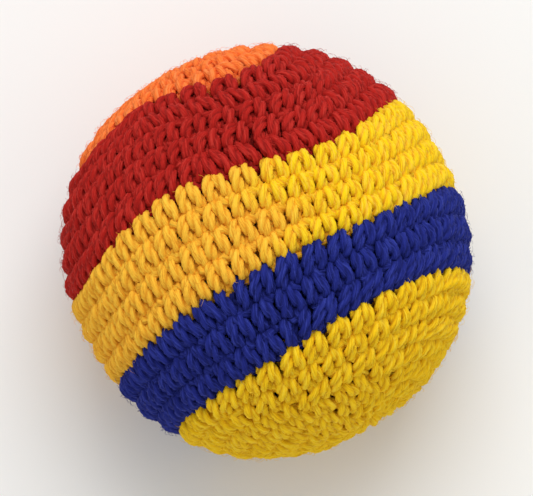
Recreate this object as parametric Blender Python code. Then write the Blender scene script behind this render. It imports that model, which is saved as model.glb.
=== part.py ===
"""A crocheted footbag at rest: five colours of yarn worked round a tied liner bag of plastic pellets.

Metres, +Z up. The crochet axis is X: the rounds start at the orange pole, at -X, and close at the yellow
pole, at +X.
The footbag rests on z = 0, and its middle is straight above the origin.
"""

import math

import bmesh
import bpy
from mathutils import Vector

MM = 0.001

# The ball, which its weight flattens underneath and swells just above that
RADIUS = 25.0 * MM
HALF_LENGTH = 25.4 * MM
SQUARENESS = 2.15
SETTLE = 3.4 * MM
SETTLE_BLEND = 1.2 * MM
SWELL_SHARE = 0.03
SWELL_HEIGHT_SHARE = -0.45
SWELL_SPREAD_SHARE = 0.45

# The crocheted cover: one ridge for each round, from pole to pole, in the order that the colours are worked
YARNS = (
    ("orange_start_cap", 5, (0.85, 0.12, 0.02)),
    ("brick_red_band", 5, (0.36, 0.012, 0.012)),
    ("golden_band", 4, (0.86, 0.46, 0.02)),
    ("navy_band", 3, (0.012, 0.02, 0.16)),
    ("yellow_closing_cap", 8, (0.92, 0.6, 0.012)),
)
# The heights of each colour's rounds, side by side, because some were worked a little looser
ROUND_HEIGHT_SHARES = (1.07, 1.02, 1.0, 1.07, 0.95)
POLE_ROUND_SHARE = 0.86
STITCHES_AROUND = 42
COVER_WALL = 3.4 * MM
RIDGE_DEPTH = 0.5 * MM
RIDGE_STEPS = 2

# Each colour's first stitches are drawn through the last colour's loops, so colours lap inside the wall
YARN_SEAM = 0.3 * MM
STITCH_LAP = 1.2 * MM
LAP_DEPTH = 1.8 * MM

# Rounds worked by hand stray a little from true circles, most near the start and on the upper side
WANDER = math.radians(3.2)
WANDER_WAVES = 3
WANDER_TURN = math.radians(4)
WANDER_SKEW_SHARE = 2.2

# The liner bag, gathered at its mouth under the closing pole and tied with thread
LINER_GAP = 0.3 * MM
LINER_WALL = 0.4 * MM
LINER_STEPS = 12
DISH_RADIUS = 9.0 * MM
DISH_STEPS = 4
NECK_RADIUS = 2.0 * MM
NECK_LENGTH = 3.2 * MM
FRILL_RADIUS = 2.9 * MM
FRILL_LENGTH = 0.9 * MM
TIE_RADIUS = 0.4 * MM
TIE_GAP = 0.3 * MM
TIE_SEGMENTS = 20
TIE_SIDES = 8

# The fill: one bed of packed pellets, and on it a layer of loose ones that just fits across the liner
FILL_GAP = 0.3 * MM
PELLET_RADIUS = 1.8 * MM
PELLET_LENGTH = 2.8 * MM
PELLET_SIDES = 8
PELLET_GAP = 0.35 * MM
PELLET_TILT = math.radians(18)
PELLET_RINGS = 3
GOLDEN_ANGLE = math.radians(137.508)

FLOOR_DEPTH = RADIUS - SETTLE
LINER_DEPTH = COVER_WALL + LINER_GAP
LINER_INSIDE_DEPTH = LINER_DEPTH + LINER_WALL
BED_DEPTH = LINER_INSIDE_DEPTH + FILL_GAP
NECK_END = math.sqrt((HALF_LENGTH - LINER_DEPTH) ** 2 - FRILL_RADIUS**2)
NECK_BASE = NECK_END - NECK_LENGTH
PELLET_REACH = PELLET_RADIUS * math.cos(PELLET_TILT) + PELLET_LENGTH / 2 * math.sin(PELLET_TILT)
PELLET_PITCH = 2 * PELLET_REACH + PELLET_GAP
LAYER_HEIGHT = PELLET_LENGTH * math.cos(PELLET_TILT) + 2 * PELLET_RADIUS * math.sin(PELLET_TILT)
LAYER_RADIUS = PELLET_PITCH * math.sqrt(PELLET_RINGS**2 - PELLET_RINGS + 1) + PELLET_REACH + PELLET_GAP
LAYER_TOP = math.sqrt((RADIUS - BED_DEPTH) ** 2 - LAYER_RADIUS**2)
BED_TOP = LAYER_TOP - LAYER_HEIGHT - FILL_GAP


def clear_scene():
    for found in list(bpy.data.objects):
        bpy.data.objects.remove(found)


def finish(name, colour, roughness):
    material = bpy.data.materials.new(name)
    material.use_nodes = True
    shader = material.node_tree.nodes["Principled BSDF"]
    shader.inputs["Base Color"].default_value = (*colour, 1.0)
    shader.inputs["Roughness"].default_value = roughness
    shader.inputs["Metallic"].default_value = 0.0
    return material


def crest_radius(angle):
    """How far the crests stand from the middle of the true round ball, at an angle from the start pole."""
    along = abs(math.cos(angle)) / HALF_LENGTH
    across = abs(math.sin(angle)) / RADIUS
    return (along**SQUARENESS + across**SQUARENESS) ** (-1 / SQUARENESS)


def profile_point(angle, depth):
    """A point of a turned profile, at a depth below the crests."""
    radius = crest_radius(angle) - depth
    return Vector((-radius * math.cos(angle), 0.0, radius * math.sin(angle)))


def wandered(angle, turn):
    """The angle from the start pole that a round strays to, at a turn round the axis from the top."""
    skew = 1 + WANDER_SKEW_SHARE * math.cos(angle)
    stray = WANDER * math.sin(angle) * skew * (1 + math.cos(turn)) / 2
    return angle + stray * math.sin(WANDER_WAVES * (turn - WANDER_TURN))


def smooth_max(first, second, blend):
    near = max(blend - abs(first - second), 0.0) / blend
    return max(first, second) + near * near * blend / 4


def settled(point):
    """Where a point of the true round ball goes as the footbag rests on the floor."""
    angle = math.acos(max(-1.0, min(1.0, -point.x / point.length)))
    turn = math.atan2(point.y, point.z)
    depth = crest_radius(angle) - point.length
    placed = profile_point(wandered(angle, turn), depth)
    side, height = placed.z * math.sin(turn), placed.z * math.cos(turn)
    offset = (height / RADIUS - SWELL_HEIGHT_SHARE) / SWELL_SPREAD_SHARE
    swell = 1 + SWELL_SHARE * math.exp(-offset * offset)
    floor = max(0.0, depth - RIDGE_DEPTH) - FLOOR_DEPTH
    height = smooth_max(height, floor, SETTLE_BLEND) + FLOOR_DEPTH
    return Vector((placed.x * swell, side * swell, height))


def add_object(name, bm, material, parent):
    bmesh.ops.recalc_face_normals(bm, faces=bm.faces)
    mesh = bpy.data.meshes.new(name)
    bm.to_mesh(mesh)
    bm.free()
    mesh.materials.append(material)
    mesh.shade_smooth()
    return place_mesh(name, mesh, parent)


def place_mesh(name, mesh, parent):
    placed = bpy.data.objects.new(name, mesh)
    bpy.context.scene.collection.objects.link(placed)
    placed.parent = parent
    return placed


def turned(profile, closed, segments, merge):
    """A profile spun once round the crochet axis. Its ends lie on the axis, unless it closes on itself."""
    bm = bmesh.new()
    verts = [bm.verts.new(point) for point in profile]
    edges = [bm.edges.new(pair) for pair in zip(verts, verts[1:])]
    if closed:
        edges.append(bm.edges.new((verts[-1], verts[0])))
    bmesh.ops.spin(
        bm,
        geom=verts + edges,
        axis=(1, 0, 0),
        cent=(0, 0, 0),
        angle=2 * math.pi,
        steps=segments,
        use_merge=True,
    )
    bmesh.ops.remove_doubles(bm, verts=bm.verts, dist=merge)
    return bm


def settle(bm):
    for vert in bm.verts:
        vert.co = settled(vert.co)


def round_edges():
    """The angles from the start pole at which rounds begin and end. The first and last are drawn in small."""
    heights = []
    for (_, rounds, _), share in zip(YARNS, ROUND_HEIGHT_SHARES):
        heights += [share] * rounds
    heights[0] *= POLE_ROUND_SHARE
    heights[-1] *= POLE_ROUND_SHARE
    passed = [sum(heights[:i]) for i in range(len(heights) + 1)]
    return [math.pi * height / passed[-1] for height in passed]


def ridges(edges, begin, end):
    """The outside of a colour, with a crest along each round and a groove between rounds."""
    points = []
    for low, high in zip(edges, edges[1:]):
        for step in range(RIDGE_STEPS):
            share = step / RIDGE_STEPS
            angle = max(begin, low + (high - low) * share)
            points.append(profile_point(angle, RIDGE_DEPTH * (1 - math.sin(math.pi * share))))
    points.append(profile_point(end, RIDGE_DEPTH))
    return points


def yarn_profile(edges, at_start, at_close):
    """A colour's wall: its outer half covers its rounds, and its inner half laps towards the start pole."""
    half_seam = YARN_SEAM / 2 / RADIUS
    lap = STITCH_LAP / RADIUS
    under, over = LAP_DEPTH + YARN_SEAM / 2, LAP_DEPTH - YARN_SEAM / 2
    begin = edges[0] + (0.0 if at_start else half_seam)
    end = edges[-1] - (0.0 if at_close else half_seam)
    inner_begin = begin - (0.0 if at_start else lap)
    inner_end = end - (0.0 if at_close else lap)
    rounds = len(edges) - 1
    inner = [inner_begin + (inner_end - inner_begin) * i / rounds for i in range(rounds + 1)]
    begin_step = [] if at_start else [profile_point(inner_begin, under), profile_point(begin, under)]
    end_step = [] if at_close else [profile_point(end, over), profile_point(inner_end, over)]
    outside = ridges(edges, begin, end)
    inside = [profile_point(angle, COVER_WALL) for angle in reversed(inner)]
    if at_close:
        return inside + begin_step + outside
    return outside + end_step + inside + begin_step


def add_cover(parent):
    edges = round_edges()
    first = 0
    for name, rounds, colour in YARNS:
        last = first + rounds
        at_start, at_close = first == 0, last == len(edges) - 1
        profile = yarn_profile(edges[first : last + 1], at_start, at_close)
        bm = turned(profile, not (at_start or at_close), STITCHES_AROUND, YARN_SEAM / STITCHES_AROUND)
        settle(bm)
        add_object(name, bm, finish(name, colour, 0.85), parent)
        first = last


def dished_layer(depth, neck_radius):
    """A layer under the cover: round the ball from the start pole, then dished in to the foot of the neck."""
    dish_angle = math.pi - math.asin(DISH_RADIUS / (HALF_LENGTH - LINER_DEPTH))
    points = [profile_point(dish_angle * i / LINER_STEPS, depth) for i in range(LINER_STEPS + 1)]
    rim = points[-1]
    foot = NECK_BASE - (depth - LINER_DEPTH)
    for i in range(1, DISH_STEPS + 1):
        share = i / DISH_STEPS
        drop = share * share * (3 - 2 * share)
        points.append(Vector((rim.x + (foot - rim.x) * drop, 0.0, rim.z + (neck_radius - rim.z) * share)))
    return points


def add_liner(parent):
    """The thin bag: its outside, its gathered mouth with a frill past the tie, and its inside."""
    inner_neck = NECK_RADIUS - LINER_WALL
    frill_start = NECK_END - FRILL_LENGTH
    outside = dished_layer(LINER_DEPTH, NECK_RADIUS)
    mouth = [
        Vector((frill_start, 0.0, NECK_RADIUS)),
        Vector((NECK_END, 0.0, FRILL_RADIUS)),
        Vector((NECK_END, 0.0, FRILL_RADIUS - LINER_WALL)),
        Vector((frill_start, 0.0, inner_neck)),
    ]
    inside = dished_layer(LINER_INSIDE_DEPTH, inner_neck)
    bm = turned(outside + mouth + inside[::-1], False, STITCHES_AROUND, LINER_WALL / STITCHES_AROUND)
    settle(bm)
    add_object("liner_bag", bm, finish("liner_film", (0.8, 0.82, 0.82), 0.4), parent)


def add_tie(parent):
    """The thread knotted round the neck, between the liner's shoulder and its frill."""
    ring = NECK_RADIUS + TIE_GAP + TIE_RADIUS
    middle = NECK_BASE + (NECK_LENGTH - FRILL_LENGTH) / 2
    profile = []
    for i in range(TIE_SIDES):
        angle = 2 * math.pi * i / TIE_SIDES
        across, out = TIE_RADIUS * math.cos(angle), TIE_RADIUS * math.sin(angle)
        profile.append(Vector((middle + across, 0.0, ring + out)))
    bm = turned(profile, True, TIE_SEGMENTS, TIE_RADIUS / TIE_SEGMENTS)
    settle(bm)
    add_object("liner_tie", bm, finish("tie_thread", (0.7, 0.68, 0.62), 0.8), parent)


def add_bed(pellet_finish, parent):
    """The packed fill, which takes the liner's shape below a level top."""
    profile = dished_layer(BED_DEPTH, NECK_RADIUS - LINER_WALL - FILL_GAP)
    profile.append(Vector((profile[-1].x, 0.0, 0.0)))
    bm = turned(profile, False, STITCHES_AROUND, FILL_GAP / STITCHES_AROUND)
    settle(bm)
    bmesh.ops.bisect_plane(
        bm,
        geom=bm.verts[:] + bm.edges[:] + bm.faces[:],
        dist=FILL_GAP / STITCHES_AROUND,
        plane_co=(0.0, 0.0, BED_TOP + FLOOR_DEPTH),
        plane_no=(0, 0, 1),
        clear_outer=True,
    )
    rim = [edge for edge in bm.edges if edge.is_boundary]
    bmesh.ops.contextual_create(bm, geom=rim)
    bed = add_object("pellet_bed", bm, pellet_finish, parent)
    bed.data.set_sharp_from_angle(angle=math.radians(40))


def pellet_places():
    """The middle of each loose pellet, ring by ring of a honeycomb. The last ring leaves out its corners."""
    places = [(0.0, 0.0)]
    for ring in range(1, PELLET_RINGS + 1):
        for side in range(6):
            corner, heading = math.radians(60 * side), math.radians(60 * side + 120)
            for step in range(1 if ring == PELLET_RINGS else 0, ring):
                across = ring * math.cos(corner) + step * math.cos(heading)
                along = ring * math.sin(corner) + step * math.sin(heading)
                places.append((PELLET_PITCH * across, PELLET_PITCH * along))
    return places


def add_loose_pellets(pellet_finish, parent):
    """A layer of short plastic cylinders, each tilted its own way, its lowest point just off the bed."""
    bm = bmesh.new()
    bmesh.ops.create_cone(
        bm,
        cap_ends=True,
        segments=PELLET_SIDES,
        radius1=PELLET_RADIUS,
        radius2=PELLET_RADIUS,
        depth=PELLET_LENGTH,
    )
    mesh = bpy.data.meshes.new("loose_pellet")
    bm.to_mesh(mesh)
    bm.free()
    mesh.materials.append(pellet_finish)
    mesh.shade_smooth()
    mesh.set_sharp_from_angle(angle=math.radians(60))
    for number, (x, y) in enumerate(pellet_places(), start=1):
        tilt = PELLET_TILT * math.sin(number * GOLDEN_ANGLE)
        lift = PELLET_LENGTH / 2 * math.cos(tilt) + PELLET_RADIUS * abs(math.sin(tilt))
        pellet = place_mesh(f"loose_pellet_{number:02d}", mesh, parent)
        pellet.location = (x, y, BED_TOP + FLOOR_DEPTH + FILL_GAP + lift)
        pellet.rotation_euler = (tilt, 0.0, number * GOLDEN_ANGLE)


def main():
    clear_scene()
    footbag = place_mesh("footbag", None, None)
    add_cover(footbag)
    add_liner(footbag)
    add_tie(footbag)
    pellet_finish = finish("pellets", (0.75, 0.77, 0.78), 0.35)
    add_bed(pellet_finish, footbag)
    add_loose_pellets(pellet_finish, footbag)


main()
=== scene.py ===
"""The looks of a crocheted footbag: five colours of yarn, stitch by stitch, round a tied liner of pellets."""

import math

import bmesh
import bpy
import numpy as np
from mathutils import Euler, Matrix, Vector


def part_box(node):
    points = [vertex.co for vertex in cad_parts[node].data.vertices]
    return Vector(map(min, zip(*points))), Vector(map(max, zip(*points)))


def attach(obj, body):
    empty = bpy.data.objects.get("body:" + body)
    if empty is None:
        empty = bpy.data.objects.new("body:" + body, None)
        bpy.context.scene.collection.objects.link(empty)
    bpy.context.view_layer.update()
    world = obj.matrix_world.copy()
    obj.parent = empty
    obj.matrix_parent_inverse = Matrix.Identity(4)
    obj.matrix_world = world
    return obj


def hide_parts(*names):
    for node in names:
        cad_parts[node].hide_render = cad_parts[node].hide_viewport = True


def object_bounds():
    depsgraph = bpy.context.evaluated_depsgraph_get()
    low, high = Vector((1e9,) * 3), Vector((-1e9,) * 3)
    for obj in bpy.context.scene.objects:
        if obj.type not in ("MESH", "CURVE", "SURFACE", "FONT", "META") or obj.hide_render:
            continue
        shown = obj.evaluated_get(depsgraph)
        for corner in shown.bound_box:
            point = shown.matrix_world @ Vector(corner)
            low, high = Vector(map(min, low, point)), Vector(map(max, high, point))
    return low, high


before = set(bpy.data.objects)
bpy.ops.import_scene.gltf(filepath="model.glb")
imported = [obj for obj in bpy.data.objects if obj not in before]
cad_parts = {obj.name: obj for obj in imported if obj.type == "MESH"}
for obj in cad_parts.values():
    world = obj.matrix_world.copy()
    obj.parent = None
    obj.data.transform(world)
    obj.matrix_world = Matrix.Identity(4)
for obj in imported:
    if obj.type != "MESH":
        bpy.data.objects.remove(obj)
cad_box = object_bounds()

MM = 0.001
BODY = "root"

# The ball that the solids were modelled on, which its weight flattens underneath and swells just above that
RADIUS = 25.0 * MM
HALF_LENGTH = 25.4 * MM
SQUARENESS = 2.15
SETTLE = 3.4 * MM
SETTLE_BLEND = 1.2 * MM
SWELL_SHARE = 0.03
SWELL_HEIGHT_SHARE = -0.45
SWELL_SPREAD_SHARE = 0.45
FLOOR_DEPTH = RADIUS - SETTLE

# Rounds worked by hand stray a little from true circles, most near the start and on the upper side
WANDER = math.radians(3.2)
WANDER_WAVES = 3
WANDER_TURN = math.radians(4)
WANDER_SKEW_SHARE = 2.2

# The rounds of each colour, in the order that they are worked, from the orange pole to the yellow one
YARNS = (
    ("orange_rounds", "orange_start_cap", "orange_yarn", 5),
    ("brick_red_rounds", "brick_red_band", "brick_red_yarn", 5),
    ("golden_rounds", "golden_band", "golden_yarn", 4),
    ("navy_rounds", "navy_band", "navy_yarn", 3),
    ("yellow_rounds", "yellow_closing_cap", "yellow_yarn", 8),
)
ROUNDS = sum(yarn[3] for yarn in YARNS)
# The heights of each colour's rounds, side by side, because some were worked a little looser
ROUND_HEIGHT_SHARES = (1.07, 1.02, 1.0, 1.07, 0.95)
POLE_ROUND_SHARE = 0.86
STITCHES_AROUND = 42
FEWEST_STITCHES = 6
# Each stitch stands over the hole between two stitches, so a round closes this share of a stitch early
OVERLAP_SHARE = 0.5
# A round's length is taken where its tops lie, which is nearer the middle of the ball
TOPS_SHARE = 0.75

# The work spirals, so each colour starts with a small step. These all come near the underside.
WORK_START = math.radians(306)
FIRST_FOOT = 0.16
PHASE_SHARES = (0.1, 0.9)
HOLE_SPREAD = 0.35
LEAN_SHARE = 0.1
SWAY_SHARE = 0.035
LIFT_SHARE = 0.035
SINK_SHARE = 0.12
CLOSE_DEPTH = 1.2 * MM
CLOSE_RADIUS = 1.6 * MM
FLOOR_PACK_SHARE = 0.85
CURVE_STEPS = 8
OPEN_DEEP = 1.5
HIDDEN_DEEP = 2.6
# The next colour's stitches press the last loops of a colour down, by this many yarn radii
LOOPS_UP = 0.94
LOOPS_PRESSED = 0.45
SQUEEZE_SHARE = 0.8

# Three-ply cotton yarn
YARN_RADIUS = 0.88 * MM
PLIES = 3
PLY_SHARE = 0.2
PLY_ROUNDNESS = 0.6
TWIST_LENGTH = 5.4 * MM
TWIST_FROM = (0.3, 0.5, 0.8)
YARN_SIDES = 12
OPEN_STEP = 0.42 * MM
HIDDEN_STEP = 1.0 * MM

# A cotton fibre is some 0.02 mm wide, too fine to show here, so its streaks are drawn coarser
FIBRE_WIDTH = 0.2 * MM
FIBRE_LENGTH = 2.4 * MM
FIBRE_LAY_SHARE = 0.8
# Loose fibre ends, which stand up from the yarn, are drawn coarser too: one on each stretch of open yarn
END_STRETCH = 1.0 * MM
END_RADIUS = 0.024 * MM
END_LENGTH = 1.4 * MM
END_RISE = 0.5 * MM
END_CURL = 0.6 * MM
END_POINTS = 6
END_SIDES = 3
END_ROOT_SHARE = 0.8
END_ARCH_SHARE = 0.8
END_SHORTEST_SHARE = 0.4
END_TAPER_SHARE = 0.5
END_LOWEST = 2.2 * MM
END_SEED = 5
# Where round the ball the golden yarn turns lemon and back again, and how far that strays
DYE_START = math.radians(-8)
DYE_END = math.radians(18)
DYE_BACK_START = math.radians(140)
DYE_BACK_END = math.radians(175)
DYE_STRAY = math.radians(6)
COVER_SEED = 7

# How the cotton takes the light, and where shade and highlight are painted into its colour. Levels say where
# a measure starts to show and where it shows in full: painted shade by how deep the yarn lies in radii, by
# how near a ply's edge it is and by how dark its streaks are, and a painted highlight by how pale its streaks
# are.
COTTON_ROUGHNESS = 0.8
COTTON_SPECULAR = 0.15
COTTON_SHEEN = 0.15
SHEEN_ROUGHNESS = 0.4
STREAK_DETAIL = 3.0
STREAK_ROUGHNESS = 0.6
STREAK_BUMP = 0.6
SUNK_SHADE_LEVELS = (1.2, 2.5)
GROOVE_SHADE_LEVELS = (0.6, 0.0)
GROOVE_SHADE_SHARE = 0.8
FURROW_SHADE_LEVELS = (0.47, 0.32)
FURROW_SHADE_SHARE = 0.7
PAINTED_HIGHLIGHT_LEVELS = (0.5, 0.64)
PAINTED_HIGHLIGHT_SHARE = 0.75

# Each yarn's colour on its crests; its painted shade, laid between its plies, on yarn that lies deep and in
# the furrows between its fibre streaks; and its painted highlight on its pale streaks, which also tints its
# sheen. The golden yarn is dyed by stretches, and a fourth colour is its second one.
YARN_COLOURS = {
    "orange_yarn": ("#FF8036", "#D44A14", "#FF9858"),
    "brick_red_yarn": ("#B41D16", "#780F0C", "#CA3A30"),
    "golden_yarn": ("#FFC038", "#D6881A", "#FFD048", "#FFD80E"),
    "navy_yarn": ("#1E2880", "#0E1450", "#3844A2"),
    "yellow_yarn": ("#FFD014", "#C88A08", "#FFDE40"),
}

# The liner: a film bag, dished in under the closing pole to the foot of its gathered and tied neck
LINER_DEPTH = 3.75 * MM
DISH_RADIUS = 9.0 * MM
NECK_FOOT = 18.6 * MM
NECK_END = 21.5 * MM
FILM_SEGMENTS = 144
FILM_RINGS = 96
BODY_RINGS_SHARE = 0.7
FILM_WALL = 0.12 * MM
FILM_CREASE = 2.5 * MM
CREASE_DEPTH = 0.1 * MM
CREASE_WAVES = ((5, 3), (9, -4), (14, 7))
FILM_COLOURS = ("#DCE2E2", "#F2F5F5")
FILM_DETAIL = 4.0
FILM_DISTORTION = 1.2
CLOUD_LEVELS = (0.3, 0.7)
FILM_BUMP = 0.5
FILM_ROUGHNESS = 0.38
FILM_CLEARNESS = 0.45
POLYETHYLENE_IOR = 1.51
PLEATS = 18
PLEAT_SHARE = 0.2
PLEAT_START = 6.0 * MM
# The neck is wrung before it is tied, so a few deep folds turn round it and shut it
FOLDS = 5
FOLD_SHARE = 0.6
FOLD_START = 2.6 * MM
NECK_TWIST = math.radians(110)
# The neck's way as shares: past the shoulder, down into the dish, up the neck, and out as a share of the dish
NECK_WAY_SHARES = (
    (0.0, 0.0, 0.0, 1.0),
    (0.15, 0.35, 0.0, 0.84),
    (0.35, 0.85, 0.0, 0.62),
    (0.5, 1.0, 0.0, 0.44),
    (0.6, 1.0, 0.04, 0.28),
    (0.68, 1.0, 0.16, 0.16),
    (0.75, 1.0, 0.32, 0.1),
    (0.85, 1.0, 0.56, 0.1),
    (0.92, 1.0, 0.78, 0.2),
    (1.0, 1.0, 1.0, 0.3),
)

# The tie: thread wound round the neck, its knot and its tails, in knot radii
THREAD_RADIUS = 0.2 * MM
THREAD_PLIES = 3
THREAD_TWIST_LENGTH = 1.2 * MM
THREAD_SIDES = 12
# The thread's colour on its plies, and its painted shade in the grooves between them
THREAD_COLOURS = ("#DCD8CC", "#A8A294")
THREAD_GROOVE_SHADE_LEVELS = (0.7, 0.0)
THREAD_ROUGHNESS = 0.7
THREAD_SHEEN = 0.2
TIE_SHARE = 0.44
TIE_RADIUS = 1.5 * MM
TIE_TURNS = 4
TIE_POINTS = 16
KNOT_RADIUS = 0.45 * MM
KNOT_SHARES = (
    (0.6, 0.9, 0.2),
    (0.9, 0.0, 0.9),
    (0.2, -0.9, 0.8),
    (-0.9, -0.3, 0.1),
    (-0.3, 0.9, -0.3),
    (0.8, 0.4, -0.2),
    (0.5, -0.8, 0.3),
    (-0.6, -0.7, 0.9),
    (-0.8, 0.6, 1.0),
    (0.1, 1.6, 0.9),
    (0.6, 3.2, 0.3),
)

# The pellets, cut from rod
PELLET_RADIUS = 1.8 * MM
PELLET_LENGTH = 2.8 * MM
PELLET_SIDES = 16
PELLET_ROUNDING = 0.25 * MM
PELLET_TILT = math.radians(18)
PELLET_SMOOTH = math.radians(50)
PELLET_COLOURS = ("#D4DADB", "#F0F3F2")
PELLET_CLOUD = 1.5 * MM
CLOUD_DETAIL = 2.0
PELLET_GRAIN = 0.2 * MM
DRAG_DETAIL = 3.0
DRAG_BUMP = 0.25
PELLET_ROUGHNESS = 0.34
PELLET_GLOW = 0.35
PELLET_SEED = 11
GOLDEN_ANGLE = math.radians(137.508)
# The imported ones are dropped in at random, then push each other apart in small steps until they lie close
PACKED = 430
DROPPED = 2000
PACK_STEPS = 120
PACK_PUSH_SHARE = 0.5
NECK_ROOM = 0.6 * MM

# The camera, and the lamps round it
IMAGE_WIDTH = 533
BALL_IN_IMAGE = 400
CAMERA_SIDE = 59
CAMERA_RISE = 81
CAMERA_AWAY = 700 * MM
CAMERA_REACH = 14000 * MM
SENSOR = 36.0
WORLD_LEVEL = 0.68
KEY_SIDE = 230
KEY_RISE = 60
KEY_AWAY = 600 * MM
KEY_SIZE = 400 * MM
KEY_POWER = 1.9
FLOOR_SIZE = 4000 * MM
FLOOR_GAP = 0.02 * MM
FLOOR_COLOUR = "#F2F2F0"
FLOOR_ROUGHNESS = 0.9

# The way of the yarn through one single crochet stitch. Across is in stitch widths along the working
# direction, up is in rounds from the last round's tops to this round's, deep is the strand's middle below
# the crests, in yarn radii, and own is how far the point follows its own stitch and not the hole below it.
STITCH_SHARES = (
    # across, up, deep, own
    (-0.09, -0.24, 3.0, 0.0),
    (-0.13, -0.12, 1.9, 0.1),
    (-0.19, 0.12, 1.1, 0.4),
    (-0.26, 0.46, 1.0, 0.8),
    (-0.26, 0.74, 1.6, 1.0),
    (-0.12, 0.90, 2.9, 1.0),
    (0.12, 0.90, 2.9, 1.0),
    (0.26, 0.74, 1.6, 1.0),
    (0.26, 0.46, 1.0, 0.8),
    (0.19, 0.12, 1.1, 0.4),
    (0.13, -0.12, 1.9, 0.1),
    (0.09, -0.24, 3.0, 0.0),
    (0.05, -0.05, 3.0, 0.3),
    (0.0, 0.30, 2.1, 0.7),
    (0.0, 0.66, 2.2, 1.0),
    (0.03, 0.95, 1.6, 1.0),
    (0.16, 1.00, 1.6, 1.0),
    (0.31, 1.02, 2.5, 1.0),
    (0.50, 1.00, 3.1, 1.0),
    (0.69, 1.02, 2.5, 1.0),
    (0.84, 1.03, 1.6, 1.0),
    (0.98, 1.04, 1.7, 1.0),
    (0.93, 1.10, 3.0, 1.0),
    (0.50, 1.08, 3.3, 1.0),
    (0.55, 0.55, 3.1, 1.0),
)


def crest_radius(angle):
    """How far the crests stand from the middle of the true round ball, at an angle from the start pole."""
    along = np.abs(np.cos(angle)) / HALF_LENGTH
    across = np.abs(np.sin(angle)) / RADIUS
    return (along**SQUARENESS + across**SQUARENESS) ** (-1 / SQUARENESS)


def wandered(angle, turn):
    """The angle from the start pole that a round strays to, at a turn round the axis from the top."""
    skew = 1 + WANDER_SKEW_SHARE * np.cos(angle)
    stray = WANDER * np.sin(angle) * skew * (1 + np.cos(turn)) / 2
    return angle + stray * np.sin(WANDER_WAVES * (turn - WANDER_TURN))


def settled(angle, turn, depth, floor_depth):
    """Where points of the ball lie at rest. A point stays at least its floor depth above the floor."""
    strayed = wandered(angle, turn)
    radius = crest_radius(strayed) - depth
    along, out = -radius * np.cos(strayed), radius * np.sin(strayed)
    side, height = out * np.sin(turn), out * np.cos(turn)
    offset = (height / RADIUS - SWELL_HEIGHT_SHARE) / SWELL_SPREAD_SHARE
    swell = 1 + SWELL_SHARE * np.exp(-offset * offset)
    floor = floor_depth - FLOOR_DEPTH
    near = np.maximum(SETTLE_BLEND - np.abs(height - floor), 0.0) / SETTLE_BLEND
    height = np.maximum(height, floor) + near * near * SETTLE_BLEND / 4 + FLOOR_DEPTH
    return np.stack((along * swell, side * swell, height), axis=-1)


def round_angle(count):
    """The angle from the start pole after a count of rounds. The first and last rounds are drawn in small."""
    heights = np.repeat(ROUND_HEIGHT_SHARES, [yarn[3] for yarn in YARNS])
    heights[[0, -1]] *= POLE_ROUND_SHARE
    passed = np.concatenate(([0.0], np.cumsum(heights)))
    return np.interp(count, np.arange(ROUNDS + 1), math.pi * passed / passed[-1])


def stitch_counts():
    """How many stitches each round has, from its length round the ball at its tops."""
    width = 2 * math.pi * RADIUS / STITCHES_AROUND
    counts = []
    for i in range(ROUNDS):
        tops = TOPS_SHARE if i < ROUNDS / 2 else 1 - TOPS_SHARE
        middle = float(round_angle(i + tops))
        length = 2 * math.pi * float(crest_radius(middle)) * math.sin(middle)
        counts.append(max(FEWEST_STITCHES, round(length / width)))
    return counts


def stitch_places(draws):
    """For each stitch in the order of work: its round, the turn of its own middle, the turns of the two holes
    below it, the width of a stitch as a turn, and the counts of rounds at its foot and its top. The holes are
    one and the same, except where a stitch takes in two to narrow the round."""
    places = []
    start = WORK_START
    below = FEWEST_STITCHES
    for i, stitches in enumerate(stitch_counts()):
        width = 2 * math.pi / (stitches + OVERLAP_SHARE)
        below_width = 2 * math.pi / (below + OVERLAP_SHARE)
        below_start = start
        start -= below_width * OVERLAP_SHARE
        phase = draws.uniform(*PHASE_SHARES)
        holes = [math.floor(j * below / stitches + phase) for j in range(stitches + 1)]
        for j in range(stitches):
            first, last = holes[j], max(holes[j], holes[j + 1] - 1)
            own_turn = start + width * (j + 0.5)
            foot = i - 0.5 + (first + last) / 2 / below if i else FIRST_FOOT
            top = i + 0.5 + (j + 0.5) / stitches
            feet = (below_start + below_width * first, below_start + below_width * last)
            places.append((i, own_turn, feet, width, foot, top))
        below = stitches
    return places


def strand_keys(places, draws):
    """The points that the yarn passes, stitch by stitch: count of rounds, turn, and depth in yarn radii."""
    keys = []
    last_round = places[-1][0]
    for i, own_turn, feet, width, foot, top in places:
        sway, lift, sink = draws.uniform(-1, 1, 3) * (SWAY_SHARE, LIFT_SHARE, SINK_SHARE)
        for across, up, deep, own in STITCH_SHARES:
            foot_turn = feet[across > 0] + HOLE_SPREAD * (own_turn - feet[across > 0])
            turn = foot_turn + own * (own_turn - foot_turn) + width * (across + sway - LEAN_SHARE * up)
            level = up + lift * own
            count = foot + level + (top - foot - 1) * min(max(level, 0.0), 1.0)
            pressed = LOOPS_PRESSED if i == last_round and up > LOOPS_UP else 0.0
            keys.append((count, turn, deep + sink + pressed))
    keys = np.array(keys)
    keys[:, 0] = np.clip(keys[:, 0], FIRST_FOOT, ROUNDS - FIRST_FOOT)
    return keys


def smoothed(keys, steps):
    """A Catmull-Rom curve through the keys."""
    padded = np.concatenate((2 * keys[:1] - keys[1:2], keys, 2 * keys[-1:] - keys[-2:-1]))
    before, start, end, after = padded[:-3], padded[1:-2], padded[2:-1], padded[3:]
    share = (np.arange(steps) / steps)[None, :, None]
    before, start, end, after = (part[:, None, :] for part in (before, start, end, after))
    curve = start + 0.5 * share * (
        end - before + share * (2 * before - 5 * start + 4 * end - after
        + share * (3 * (start - end) + after - before))
    )
    return np.concatenate((curve.reshape(-1, keys.shape[1]), keys[-1:]))


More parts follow.
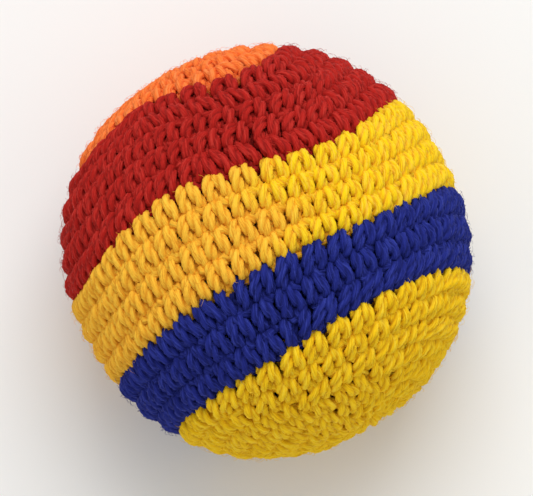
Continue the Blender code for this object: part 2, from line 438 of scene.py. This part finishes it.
def strand_line(keys):
    """The strand's middle line in metres, and its radius along it, with close points only where it shows."""
    count, turn, deep = smoothed(keys, CURVE_STEPS).T
    angle = round_angle(count)
    depth = deep * YARN_RADIUS
    from_pole = RADIUS * (math.pi - angle)
    depth = depth + CLOSE_DEPTH * np.exp(-((from_pole / CLOSE_RADIUS) ** 2))
    floor_depth = YARN_RADIUS + np.maximum(depth - YARN_RADIUS, 0.0) * FLOOR_PACK_SHARE
    points = settled(angle, turn, depth, floor_depth)
    hidden = np.clip((deep - OPEN_DEEP) / (HIDDEN_DEEP - OPEN_DEEP), 0.0, 1.0)
    lengths = np.linalg.norm(np.diff(points, axis=0), axis=1)
    step = OPEN_STEP + (HIDDEN_STEP - OPEN_STEP) * (hidden[1:] + hidden[:-1]) / 2
    passed = np.concatenate(([0.0], np.cumsum(lengths / step)))
    wanted = np.arange(0.0, passed[-1], 1.0)
    line = np.stack([np.interp(wanted, passed, points[:, i]) for i in range(3)], axis=1)
    thin = 1 - (1 - SQUEEZE_SHARE) * hidden
    values = [np.interp(wanted, passed, value) for value in (thin, deep, dye_share(turn, count))]
    return line, values


def eased(share):
    share = np.clip(share, 0.0, 1.0)
    return share * share * (3 - 2 * share)


def dye_share(turn, count):
    """How far yarn that is dyed by stretches has gone over to its second colour."""
    place = (turn + math.pi) % (2 * math.pi) - math.pi + DYE_STRAY * np.sin(GOLDEN_ANGLE * count)
    there = eased((place - DYE_START) / (DYE_END - DYE_START))
    back = eased((place - DYE_BACK_START) / (DYE_BACK_END - DYE_BACK_START))
    return there - back


def sweep(line, thin, radius, plies, twist_length, sides):
    """A twisted section along a line: its points, in rings, and the length passed at each ring."""
    ahead = np.gradient(line, axis=0)
    ahead /= np.linalg.norm(ahead, axis=1, keepdims=True)
    passed = np.concatenate(([0.0], np.cumsum(np.linalg.norm(np.diff(line, axis=0), axis=1))))
    side = np.empty_like(line)
    current = np.cross(ahead[0], TWIST_FROM)
    for i, way in enumerate(ahead):
        current = current - way * np.dot(current, way)
        current = current / np.sqrt(np.dot(current, current))
        side[i] = current
    other = np.cross(ahead, side)
    around = 2 * math.pi * np.arange(sides) / sides
    crest = np.abs(np.sin(plies * around / 2)) ** PLY_ROUNDNESS
    reach = radius * (1 - 2 * PLY_SHARE * (1 - crest))
    turned = around[None, :] + 2 * math.pi * passed[:, None] / twist_length
    out = np.cos(turned)[:, :, None] * side[:, None, :] + np.sin(turned)[:, :, None] * other[:, None, :]
    rings = line[:, None, :] + out * (thin[:, None] * reach[None, :])[:, :, None]
    return rings, passed


def tube_mesh(name, rings, passed, values):
    """A closed tube through the rings. Its UV is the yarn's length and girth; its values are attributes."""
    count, sides = rings.shape[:2]
    ends = np.stack((rings[0].mean(axis=0), rings[-1].mean(axis=0)))
    verts = np.concatenate((rings.reshape(-1, 3), ends))
    first = np.arange(count - 1)[:, None] * sides
    here, following = np.arange(sides), (np.arange(sides) + 1) % sides
    second = first + sides
    quads = np.stack((first + here, first + following, second + following, second + here), axis=-1)
    last = (count - 1) * sides
    start_cap = np.stack((following, here, np.full(sides, count * sides)), axis=-1)
    end_cap = np.stack((last + here, last + following, np.full(sides, count * sides + 1)), axis=-1)
    faces = quads.reshape(-1, 4).tolist() + start_cap.tolist() + end_cap.tolist()
    mesh = bpy.data.meshes.new(name)
    mesh.from_pydata(verts.tolist(), [], faces)
    girth = np.arange(sides + 1) / sides
    along = passed / MM
    low, high = np.stack((along[:-1], along[1:]))[:, :, None].repeat(sides, axis=2)
    near, far = (part[None, :].repeat(count - 1, axis=0) for part in (girth[:-1], girth[1:]))
    quad_uv = np.stack((low, near, low, far, high, far, high, near), axis=-1).reshape(-1)
    cap_uv = np.zeros(2 * sides * 3 * 2)
    cap_uv[sides * 6 :: 2] = along[-1]
    layer = mesh.uv_layers.new(name="yarn")
    layer.data.foreach_set("uv", np.concatenate((quad_uv, cap_uv)))
    for key, value in values.items():
        attribute = mesh.attributes.new(key, "FLOAT", "POINT")
        attribute.data.foreach_set("value", np.concatenate((value.repeat(sides), value[[0, -1]])))
    mesh.shade_smooth()
    mesh.update()
    return mesh


def fibre_ends(line, passed, deep, dye, draws):
    """Fibre ends that stand up from the open yarn: thin closed tubes, each with its own curve."""
    open_yarn = np.flatnonzero((deep < OPEN_DEEP) & (line[:, 2] > END_LOWEST))
    count = round(len(open_yarn) * OPEN_STEP / END_STRETCH)
    roots = draws.choice(open_yarn, count, replace=False)
    outward = line[roots] - (0.0, 0.0, FLOOR_DEPTH)
    outward /= np.linalg.norm(outward, axis=1, keepdims=True)
    along = np.cross(outward, draws.normal(size=(count, 3)))
    along /= np.linalg.norm(along, axis=1, keepdims=True)
    aside = np.cross(outward, along)
    length, rise = draws.uniform(END_SHORTEST_SHARE, 1.0, (2, count, 1)) * (((END_LENGTH,),), ((END_RISE,),))
    curl = draws.uniform(-1, 1, (count, 1)) * END_CURL
    share = np.linspace(0.0, 1.0, END_POINTS)[None, :, None]
    paths = (line[roots] + outward * YARN_RADIUS * END_ROOT_SHARE)[:, None, :]
    paths = paths + (along * length)[:, None, :] * share
    paths = paths + (outward * rise)[:, None, :] * np.sin(math.pi * END_ARCH_SHARE * share)
    paths = paths + (aside * curl)[:, None, :] * share * share
    ways = np.gradient(paths, axis=1)
    ways /= np.linalg.norm(ways, axis=2, keepdims=True)
    side = np.cross(ways, outward[:, None, :])
    side /= np.linalg.norm(side, axis=2, keepdims=True)
    other = np.cross(ways, side)
    around = (2 * math.pi * np.arange(END_SIDES) / END_SIDES)[:, None]
    out = np.cos(around) * side[:, :, None, :] + np.sin(around) * other[:, :, None, :]
    rings = paths[:, :, None, :] + out * END_RADIUS * (1 - END_TAPER_SHARE * share[..., None])
    here = np.arange(END_SIDES)
    following = (here + 1) % END_SIDES
    faces = [here[::-1].tolist(), (here + (END_POINTS - 1) * END_SIDES).tolist()]
    for i in range(END_POINTS - 1):
        low, high = i * END_SIDES, (i + 1) * END_SIDES
        faces += np.stack((low + here, low + following, high + following, high + here), axis=-1).tolist()
    each = END_POINTS * END_SIDES
    faces = [[i * each + j for j in face] for i in range(count) for face in faces]
    mesh = bpy.data.meshes.new("fibre_ends")
    mesh.from_pydata(rings.reshape(-1, 3).tolist(), [], faces)
    # Each end takes the colour of the ply's crest that it stands on
    crest = np.full(count, 1 / PLIES / 2)
    places = np.stack((passed[roots] / MM, crest), axis=-1)
    layer = mesh.uv_layers.new(name="yarn")
    layer.data.foreach_set("uv", places.repeat(len(mesh.loops) // count, axis=0).reshape(-1))
    for key, value in {"deep": np.zeros(count), "dye": dye[roots]}.items():
        attribute = mesh.attributes.new(key, "FLOAT", "POINT")
        attribute.data.foreach_set("value", value.repeat(each))
    mesh.shade_smooth()
    mesh.update()
    return mesh


def crochet_cover():
    """Each colour's rounds, worked stitch after stitch with one unbroken strand of yarn."""
    draws = np.random.default_rng(COVER_SEED)
    end_draws = np.random.default_rng(END_SEED)
    places = stitch_places(draws)
    first = 0
    for name, node, slot, rounds in YARNS:
        mine = [place for place in places if first <= place[0] < first + rounds]
        line, (thin, deep, dye) = strand_line(strand_keys(mine, draws))
        rings, passed = sweep(line, thin, YARN_RADIUS, PLIES, TWIST_LENGTH, YARN_SIDES)
        mesh = tube_mesh(name, rings, passed, {"deep": deep, "dye": dye})
        cotton = combed_cotton(slot, *YARN_COLOURS[slot])
        piece = new_object(name, mesh)
        dress(piece, (node,), cotton)
        fuzz = fibre_ends(line, passed, deep, dye, end_draws)
        dress(new_object(name.replace("rounds", "fibre_ends"), fuzz), (), cotton)
        first += rounds


def eased_way(past, places, shares):
    """A value that passes the given shares at the given places, with rounded turns between them."""
    fine = np.linspace(0.0, 1.0, FILM_RINGS * CURVE_STEPS)
    sharp = np.interp(fine, places, shares)
    spread = np.ones(FILM_RINGS // 2) / (FILM_RINGS // 2)
    padded = np.concatenate((np.full(len(spread), sharp[0]), sharp, np.full(len(spread), sharp[-1])))
    rounded = np.convolve(padded, spread, mode="same")[len(spread) : -len(spread)]
    return np.interp(past, fine, rounded)


def film_liner():
    """A thin film bag with soft creases, pleated and wrung at its tied neck, with a frill beyond the tie."""
    bpy.ops.object.select_all(action="DESELECT")
    bpy.ops.mesh.primitive_uv_sphere_add(
        segments=FILM_SEGMENTS, ring_count=FILM_RINGS, radius=RADIUS, rotation=(0, math.pi / 2, 0)
    )
    bpy.ops.object.transform_apply(rotation=True)
    bag = bpy.context.object
    bpy.ops.object.mode_set(mode="EDIT")
    bm = bmesh.from_edit_mesh(bag.data)
    mouth = max(bm.verts, key=lambda vert: vert.co.x)
    for vert in bm.verts:
        vert.select = vert == mouth
    bm.select_flush(True)
    bpy.ops.mesh.delete(type="VERT")
    bpy.ops.object.mode_set(mode="OBJECT")
    points = np.empty(len(bag.data.vertices) * 3)
    bag.data.vertices.foreach_get("co", points)
    points = points.reshape(-1, 3)
    share = np.arccos(np.clip(-points[:, 0] / RADIUS, -1, 1)) / math.pi
    turn = np.arctan2(points[:, 1], points[:, 2])
    shoulder = math.pi - math.asin(DISH_RADIUS / (HALF_LENGTH - LINER_DEPTH))
    angle = shoulder * np.minimum(share / BODY_RINGS_SHARE, 1.0)
    past = np.maximum(share - BODY_RINGS_SHARE, 0.0) / (1 - BODY_RINGS_SHARE)
    crease = sum(np.sin(waves * turn + lean * angle) for waves, lean in CREASE_WAVES) / len(CREASE_WAVES)
    depth = LINER_DEPTH + CREASE_DEPTH * (1 + crease * np.sin(angle) ** 2)
    body = settled(angle, turn, depth, depth)
    # Past the shoulder the film dishes in, gathers into pleats and rises as the neck
    way = np.array(NECK_WAY_SHARES).T
    down, up, out = (eased_way(past, way[0], shares) for shares in way[1:])
    radius = out * DISH_RADIUS
    gathered = np.clip((PLEAT_START - radius) / PLEAT_START, 0.0, 1.0)
    drawn = eased((FOLD_START - radius) / (FOLD_START - min(way[3]) * DISH_RADIUS))
    wrung = turn + NECK_TWIST * up
    pleats = PLEAT_SHARE * np.sin(PLEATS * wrung) * gathered * (1 - drawn)
    reach = radius * (1 + pleats + FOLD_SHARE * np.sin(FOLDS * wrung) * drawn)
    along = body[:, 0] + (NECK_FOOT - body[:, 0]) * down + (NECK_END - NECK_FOOT) * up
    neck = np.stack((along, reach * np.sin(turn), FLOOR_DEPTH + reach * np.cos(turn)), axis=-1)
    blend = np.clip(past / NECK_WAY_SHARES[1][0], 0.0, 1.0)[:, None]
    placed = body * (1 - blend) + neck * blend
    bag.data.vertices.foreach_set("co", placed.reshape(-1))
    bag.data.update()
    wall = bag.modifiers.new("film", "SOLIDIFY")
    wall.thickness, wall.offset = FILM_WALL, -1.0
    bpy.ops.object.modifier_apply(modifier="film")
    bpy.ops.object.shade_smooth()
    bag.name = "film_liner"
    dress(bag, ("liner_bag",), blown_film())


def thread_tie():
    """Sewing thread wound round the neck, crossed over in a knot, with two short tails."""
    turns = TIE_TURNS * 2 * math.pi
    steps = np.linspace(0.0, turns, TIE_TURNS * TIE_POINTS)
    ring = TIE_RADIUS + THREAD_RADIUS
    middle = NECK_FOOT + (NECK_END - NECK_FOOT) * TIE_SHARE
    wound = np.stack(
        (
            middle + (steps / turns - 0.5) * 2 * THREAD_RADIUS * TIE_TURNS,
            ring * np.sin(steps),
            FLOOR_DEPTH + ring * np.cos(steps),
        ),
        axis=-1,
    )
    knot = KNOT_RADIUS * np.array(KNOT_SHARES) + (middle, 0.0, FLOOR_DEPTH + ring + KNOT_RADIUS)
    line = smoothed(np.concatenate((wound, knot)), CURVE_STEPS)
    rings, passed = sweep(
        line, np.ones(len(line)), THREAD_RADIUS, THREAD_PLIES, THREAD_TWIST_LENGTH, THREAD_SIDES
    )
    mesh = tube_mesh("thread_tie", rings, passed, {})
    tie = new_object("thread_tie", mesh)
    dress(tie, ("liner_tie",), spun_thread())


def cut_pellet():
    """One pellet as it is cut from extruded rod: a short cylinder whose rims are rounded by tumbling."""
    bpy.ops.object.select_all(action="DESELECT")
    bpy.ops.mesh.primitive_cylinder_add(vertices=PELLET_SIDES, radius=PELLET_RADIUS, depth=PELLET_LENGTH)
    pellet = bpy.context.object
    bpy.ops.object.mode_set(mode="EDIT")
    bm = bmesh.from_edit_mesh(pellet.data)
    for face in bm.faces:
        face.select = False
    for edge in bm.edges:
        edge.select = abs(edge.verts[0].co.z - edge.verts[1].co.z) < PELLET_ROUNDING
    bmesh.update_edit_mesh(pellet.data)
    bpy.ops.mesh.bevel(offset=PELLET_ROUNDING, segments=1, affect="EDGES")
    bpy.ops.object.mode_set(mode="OBJECT")
    bpy.ops.object.shade_smooth_by_angle(angle=PELLET_SMOOTH)
    return pellet


def pellet_reach(axes, ways):
    """How far pellets with these axes reach from their middles in unit directions."""
    level = np.clip(np.abs(np.einsum("...k,...k->...", axes, ways)), 0.0, 1.0)
    return PELLET_RADIUS * np.sqrt(1 - level**2) + PELLET_LENGTH / 2 * level


def packed_places(draws):
    """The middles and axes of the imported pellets, inside the liner and below the loose ones."""
    middle = np.array((0.0, 0.0, FLOOR_DEPTH))
    wall = LINER_DEPTH + FILM_WALL + 2 * CREASE_DEPTH
    bed_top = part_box("pellet_bed")[1].z
    dropped = middle + draws.uniform(-1, 1, (DROPPED, 3)) * (RADIUS - wall)
    inside = np.linalg.norm(dropped - middle, axis=1) < RADIUS - wall - PELLET_RADIUS
    inside &= np.abs(dropped[:, 2] - (bed_top + wall) / 2) < (bed_top - wall) / 2 - PELLET_RADIUS
    places = dropped[inside][:PACKED]
    axes = draws.normal(size=(PACKED, 3))
    axes /= np.linalg.norm(axes, axis=1, keepdims=True)
    upward = pellet_reach(axes, np.array((0.0, 0.0, 1.0)))
    along = pellet_reach(axes, np.array((1.0, 0.0, 0.0)))
    for _ in range(PACK_STEPS):
        gaps = places[:, None] - places[None]
        apart = np.linalg.norm(gaps, axis=2) + np.eye(PACKED)
        ways = gaps / apart[:, :, None]
        reach = pellet_reach(axes[:, None], ways)
        push = np.maximum(reach + reach.T - apart, 0.0)
        places = places + (ways * push[:, :, None]).sum(axis=1) * PACK_PUSH_SHARE
        outward = places - middle
        far = np.linalg.norm(outward, axis=1)
        room = RADIUS - wall - pellet_reach(axes, outward / far[:, None])
        places = middle + outward * np.minimum(room / far, 1.0)[:, None]
        places[:, 2] = np.clip(places[:, 2], wall + upward, bed_top - upward)
        dished = np.hypot(places[:, 1], places[:, 2] - FLOOR_DEPTH) < DISH_RADIUS
        ends = np.where(dished, NECK_FOOT - NECK_ROOM - along, RADIUS)
        places[:, 0] = np.minimum(places[:, 0], ends)
    return zip(places, axes)


def plastic_pellets():
    """The fill: hundreds of packed pellets as one piece, and the loose ones on top, each at its node."""
    draws = np.random.default_rng(PELLET_SEED)
    pellet = cut_pellet()
    plastic = natural_polyethylene()
    verts = np.array([vert.co for vert in pellet.data.vertices])
    faces = [list(face.vertices) for face in pellet.data.polygons]
    packed_verts, packed_faces = [], []
    for place, axis in packed_places(draws):
        first = len(packed_verts) * len(verts)
        turning = np.array(Vector(axis).to_track_quat("Z", "Y").to_matrix())
        packed_verts.append(verts @ turning.T + place)
        packed_faces += [[first + i for i in face] for face in faces]
    mesh = bpy.data.meshes.new("packed_pellets")
    mesh.from_pydata(np.concatenate(packed_verts).tolist(), [], packed_faces)
    mesh.shade_smooth()
    mesh.set_sharp_from_angle(angle=PELLET_SMOOTH)
    packed = new_object("packed_pellets", mesh)
    dress(packed, ("pellet_bed",), plastic)
    loose = [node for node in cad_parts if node.startswith("loose_pellet")]
    for node in sorted(loose):
        number = int(node.split("_")[-1])
        low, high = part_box(node)
        tilt = PELLET_TILT * math.sin(number * GOLDEN_ANGLE)
        turning = Euler((tilt, 0.0, number * GOLDEN_ANGLE)).to_matrix().to_4x4()
        copy = pellet.data.copy()
        copy.transform(Matrix.Translation((low + high) / 2) @ turning)
        piece = new_object(f"pellet_{number:02d}", copy)
        dress(piece, (node,), plastic)
    bpy.data.objects.remove(pellet)


def new_object(name, data):
    """A new object in the scene."""
    made = bpy.data.objects.new(name, data)
    bpy.context.scene.collection.objects.link(made)
    return made


def dress(piece, nodes, finish):
    """Gives a finished piece its body, the nodes that it stands for and its material."""
    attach(piece, BODY)
    if nodes:
        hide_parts(*nodes)
    piece.data.materials.append(finish)


def colour(hexed):
    """An sRGB hex colour as the linear colour that a shader takes."""
    parts = [int(hexed[i : i + 2], 16) / 255 for i in (1, 3, 5)]
    return [part / 12.92 if part <= 0.04045 else ((part + 0.055) / 1.055) ** 2.4 for part in parts] + [1.0]


def add_node(tree, kind, inputs=None, **settings):
    """A new node with its settings, its input values and the links into it."""
    made = tree.nodes.new(kind)
    for key, value in settings.items():
        setattr(made, key, value)
    for key, value in (inputs or {}).items():
        if isinstance(value, bpy.types.NodeSocket):
            tree.links.new(value, made.inputs[key])
        else:
            made.inputs[key].default_value = value
    return made


def new_finish(name):
    """A Principled material and its node tree and shader."""
    material = bpy.data.materials.new(name)
    material.use_nodes = True
    return material, material.node_tree, material.node_tree.nodes["Principled BSDF"]


def combed_cotton(slot, fibre, painted_shade_colour, sheen_and_painted_highlight, turned=None):
    """Combed cotton, ring spun, three-plied and dyed, which makes it matte: painted shade darkens the lines
    between its plies, the yarn that lies deep and the furrows between streaks of fibre that lie along the
    yarn, and a painted highlight on the pale streaks stands for a soft bloom where fibre ends stand up."""
    material, tree, shader = new_finish("combed_cotton_" + slot)
    place = add_node(tree, "ShaderNodeUVMap", uv_map="yarn").outputs["UV"]
    parts = add_node(tree, "ShaderNodeSeparateXYZ", {"Vector": place})
    along, girth = parts.outputs["X"], parts.outputs["Y"]
    # The fibres run nearly straight along the yarn, so they cross the turning plies
    lay = FIBRE_LAY_SHARE * MM / TWIST_LENGTH
    untwist = add_node(tree, "ShaderNodeMath", {0: along, 1: lay, 2: girth}, operation="MULTIPLY_ADD")
    angle = add_node(tree, "ShaderNodeMath", {0: untwist.outputs[0], 1: 2 * math.pi}, operation="MULTIPLY")
    across = add_node(tree, "ShaderNodeMath", {0: angle.outputs[0]}, operation="COSINE")
    beside = add_node(tree, "ShaderNodeMath", {0: angle.outputs[0]}, operation="SINE")
    ring = add_node(tree, "ShaderNodeCombineXYZ", {"X": across.outputs[0], "Y": beside.outputs[0]})
    spread = add_node(
        tree,
        "ShaderNodeVectorMath",
        {0: ring.outputs[0], "Scale": YARN_RADIUS / FIBRE_WIDTH},
        operation="SCALE",
    )
    length = add_node(tree, "ShaderNodeMath", {0: along, 1: MM / FIBRE_LENGTH}, operation="MULTIPLY")
    level = add_node(tree, "ShaderNodeCombineXYZ", {"Z": length.outputs[0]})
    fibres_at = add_node(
        tree, "ShaderNodeVectorMath", {0: spread.outputs[0], 1: level.outputs[0]}, operation="ADD"
    )
    streaks = {"Scale": 1.0, "Detail": STREAK_DETAIL, "Roughness": STREAK_ROUGHNESS}
    fibres = add_node(
        tree, "ShaderNodeTexNoise", {"Vector": fibres_at.outputs[0], **streaks}
    ).outputs["Fac"]
    ply = add_node(tree, "ShaderNodeMath", {0: girth, 1: math.pi * PLIES}, operation="MULTIPLY")
    ply_turn = add_node(tree, "ShaderNodeMath", {0: ply.outputs[0]}, operation="SINE")
    ply_crest = add_node(tree, "ShaderNodeMath", {0: ply_turn.outputs[0]}, operation="ABSOLUTE")
    deep = add_node(tree, "ShaderNodeAttribute", attribute_name="deep")
    # Painted shade: yarn that lies deep, the lines between plies and the furrows between fibres are all
    # painted darker, toward the yarn's shade colour
    sunk_painted_shade = add_node(
        tree,
        "ShaderNodeMapRange",
        {"Value": deep.outputs["Fac"], "From Min": SUNK_SHADE_LEVELS[0], "From Max": SUNK_SHADE_LEVELS[1]},
    )
    groove_painted_shade = add_node(
        tree,
        "ShaderNodeMapRange",
        {
            "Value": ply_crest.outputs[0],
            "From Min": GROOVE_SHADE_LEVELS[0],
            "From Max": GROOVE_SHADE_LEVELS[1],
            "To Max": GROOVE_SHADE_SHARE,
        },
    )
    furrow_painted_shade = add_node(
        tree,
        "ShaderNodeMapRange",
        {"Value": fibres, "From Min": FURROW_SHADE_LEVELS[0], "From Max": FURROW_SHADE_LEVELS[1], "To Max": FURROW_SHADE_SHARE},
    )
    painted_shade_amount = add_node(
        tree, "ShaderNodeMath", {0: sunk_painted_shade.outputs[0], 1: groove_painted_shade.outputs[0]}, operation="MAXIMUM"
    )
    painted_shade_amount = add_node(tree, "ShaderNodeMath", {0: painted_shade_amount.outputs[0], 1: furrow_painted_shade.outputs[0]}, operation="MAXIMUM")
    face = colour(fibre)
    if turned:
        dye = add_node(tree, "ShaderNodeAttribute", attribute_name="dye").outputs["Fac"]
        face = add_node(
            tree, "ShaderNodeMix", {0: dye, 6: colour(fibre), 7: colour(turned)}, data_type="RGBA"
        ).outputs[2]
    # Painted shade: the face goes over to the yarn's darker shade colour by the largest of the three painted
    # shade shares
    face_with_painted_shade = add_node(
        tree, "ShaderNodeMix", {0: painted_shade_amount.outputs[0], 6: face, 7: colour(painted_shade_colour)}, data_type="RGBA"
    )
    # Painted highlight: the pale crests of the fibre streaks go over to a lighter colour, the same one that
    # tints the sheen
    painted_highlight = add_node(
        tree,
        "ShaderNodeMapRange",
        {"Value": fibres, "From Min": PAINTED_HIGHLIGHT_LEVELS[0], "From Max": PAINTED_HIGHLIGHT_LEVELS[1], "To Max": PAINTED_HIGHLIGHT_SHARE},
    )
    surface = add_node(
        tree,
        "ShaderNodeMix",
        {0: painted_highlight.outputs[0], 6: face_with_painted_shade.outputs[2], 7: colour(sheen_and_painted_highlight)},
        data_type="RGBA",
    )
    bump = add_node(
        tree, "ShaderNodeBump", {"Height": fibres, "Strength": STREAK_BUMP, "Distance": FIBRE_WIDTH}
    )
    tree.links.new(surface.outputs[2], shader.inputs["Base Color"])
    tree.links.new(bump.outputs[0], shader.inputs["Normal"])
    shader.inputs["Roughness"].default_value = COTTON_ROUGHNESS
    shader.inputs["Specular IOR Level"].default_value = COTTON_SPECULAR
    shader.inputs["Sheen Weight"].default_value = COTTON_SHEEN
    shader.inputs["Sheen Roughness"].default_value = SHEEN_ROUGHNESS
    shader.inputs["Sheen Tint"].default_value = colour(sheen_and_painted_highlight)
    return material


def blown_film():
    """Low-density polyethylene, blown into a thin bag, which leaves it cloudy and soft: the eye sees milky
    patches and fine creases that catch the light."""
    material, tree, shader = new_finish("blown_polyethylene_film")
    place = add_node(tree, "ShaderNodeTexCoord").outputs["Object"]
    creases = add_node(
        tree,
        "ShaderNodeTexNoise",
        {"Vector": place, "Scale": 1 / FILM_CREASE, "Detail": FILM_DETAIL, "Distortion": FILM_DISTORTION},
    )
    cloud = add_node(
        tree,
        "ShaderNodeMapRange",
        {"Value": creases.outputs["Fac"], "From Min": CLOUD_LEVELS[0], "From Max": CLOUD_LEVELS[1]},
    )
    clear, cloudy = (colour(hexed) for hexed in FILM_COLOURS)
    milky = add_node(tree, "ShaderNodeMix", {0: cloud.outputs[0], 6: clear, 7: cloudy}, data_type="RGBA")
    bump = add_node(
        tree,
        "ShaderNodeBump",
        {"Height": creases.outputs["Fac"], "Strength": FILM_BUMP, "Distance": FILM_WALL},
    )
    tree.links.new(milky.outputs[2], shader.inputs["Base Color"])
    tree.links.new(bump.outputs[0], shader.inputs["Normal"])
    shader.inputs["Roughness"].default_value = FILM_ROUGHNESS
    shader.inputs["IOR"].default_value = POLYETHYLENE_IOR
    shader.inputs["Transmission Weight"].default_value = FILM_CLEARNESS
    return material


def spun_thread():
    """Polyester sewing thread, spun from short fibres and three-plied, which makes it matte: off-white plies
    with painted shade in the grooves between them."""
    material, tree, shader = new_finish("spun_polyester_thread")
    place = add_node(tree, "ShaderNodeUVMap", uv_map="yarn").outputs["UV"]
    parts = add_node(tree, "ShaderNodeSeparateXYZ", {"Vector": place})
    angle = add_node(
        tree, "ShaderNodeMath", {0: parts.outputs["Y"], 1: math.pi * THREAD_PLIES}, operation="MULTIPLY"
    )
    turn = add_node(tree, "ShaderNodeMath", {0: angle.outputs[0]}, operation="SINE")
    crest = add_node(tree, "ShaderNodeMath", {0: turn.outputs[0]}, operation="ABSOLUTE")
    groove_painted_shade = add_node(
        tree,
        "ShaderNodeMapRange",
        {"Value": crest.outputs[0], "From Min": THREAD_GROOVE_SHADE_LEVELS[0], "From Max": THREAD_GROOVE_SHADE_LEVELS[1]},
    )
    # Painted shade: the grooves between plies go over to the darker thread colour
    ply, line = (colour(hexed) for hexed in THREAD_COLOURS)
    ground = add_node(tree, "ShaderNodeMix", {0: groove_painted_shade.outputs[0], 6: ply, 7: line}, data_type="RGBA")
    tree.links.new(ground.outputs[2], shader.inputs["Base Color"])
    shader.inputs["Roughness"].default_value = THREAD_ROUGHNESS
    shader.inputs["Sheen Weight"].default_value = THREAD_SHEEN
    return material


def natural_polyethylene():
    """Uncoloured polyethylene, extruded as rod, cut and tumbled, which leaves it milky and waxy: the eye sees
    soft clouds inside and the cutter's faint drag on the skin."""
    material, tree, shader = new_finish("natural_polyethylene")
    place = add_node(tree, "ShaderNodeTexCoord").outputs["Object"]
    clouds = add_node(
        tree, "ShaderNodeTexNoise", {"Vector": place, "Scale": 1 / PELLET_CLOUD, "Detail": CLOUD_DETAIL}
    )
    dull, bright = (colour(hexed) for hexed in PELLET_COLOURS)
    milky = add_node(
        tree, "ShaderNodeMix", {0: clouds.outputs["Fac"], 6: dull, 7: bright}, data_type="RGBA"
    )
    drag = add_node(
        tree, "ShaderNodeTexNoise", {"Vector": place, "Scale": 1 / PELLET_GRAIN, "Detail": DRAG_DETAIL}
    )
    bump = add_node(
        tree,
        "ShaderNodeBump",
        {"Height": drag.outputs["Fac"], "Strength": DRAG_BUMP, "Distance": PELLET_GRAIN},
    )
    tree.links.new(milky.outputs[2], shader.inputs["Base Color"])
    tree.links.new(bump.outputs[0], shader.inputs["Normal"])
    shader.inputs["Roughness"].default_value = PELLET_ROUGHNESS
    shader.inputs["IOR"].default_value = POLYETHYLENE_IOR
    shader.inputs["Subsurface Weight"].default_value = PELLET_GLOW
    shader.inputs["Subsurface Radius"].default_value = (1.0, 1.0, 1.0)
    shader.inputs["Subsurface Scale"].default_value = PELLET_CLOUD
    return material


def direction(azimuth, elevation):
    """The unit way from the footbag to a place round it, from angles in degrees."""
    side, rise = math.radians(azimuth), math.radians(elevation)
    return Vector((math.sin(side) * math.cos(rise), -math.cos(side) * math.cos(rise), math.sin(rise)))


def add_camera():
    """A camera that looks almost straight down, at the photograph's angle."""
    low, high = cad_box
    middle = (low + high) / 2
    way = direction(CAMERA_SIDE, CAMERA_RISE)
    camera = new_object("camera", bpy.data.cameras.new("camera"))
    camera.data.sensor_width = SENSOR
    camera.data.lens = SENSOR * CAMERA_AWAY / (2 * RADIUS * IMAGE_WIDTH / BALL_IN_IMAGE)
    camera.location = middle + way * CAMERA_AWAY
    camera.rotation_mode = "QUATERNION"
    camera.rotation_quaternion = (-way).to_track_quat("-Z", "Y")
    camera.data.clip_start, camera.data.clip_end = RADIUS, CAMERA_REACH
    bpy.context.scene.camera = camera


def add_lamp(name, azimuth, elevation, away, size, power):
    """A soft square lamp that faces the footbag."""
    lamp = bpy.data.lights.new(name, "AREA")
    lamp.shape = "SQUARE"
    lamp.size = size
    lamp.energy = power
    placed = new_object(name, lamp)
    way = direction(azimuth, elevation)
    placed.location = way * away
    placed.rotation_euler = way.to_track_quat("Z", "Y").to_euler()


def add_studio():
    """A plain pale floor and an even white room."""
    bpy.ops.mesh.primitive_plane_add(size=FLOOR_SIZE, location=(0, 0, -FLOOR_GAP))
    floor = bpy.context.object
    floor.name = "studio_floor"
    material, tree, shader = new_finish("pale_paper")
    shader.inputs["Base Color"].default_value = colour(FLOOR_COLOUR)
    shader.inputs["Roughness"].default_value = FLOOR_ROUGHNESS
    floor.data.materials.append(material)
    world = bpy.data.worlds.new("studio")
    bpy.context.scene.world = world
    world.use_nodes = True
    back = world.node_tree.nodes["Background"]
    back.inputs["Color"].default_value = (1, 1, 1, 1)
    back.inputs["Strength"].default_value = WORLD_LEVEL
    add_lamp("key_lamp", KEY_SIDE, KEY_RISE, KEY_AWAY, KEY_SIZE, KEY_POWER)
    bpy.context.scene.view_settings.view_transform = "Standard"


add_camera()
add_studio()
crochet_cover()
film_liner()
thread_tie()
plastic_pellets()
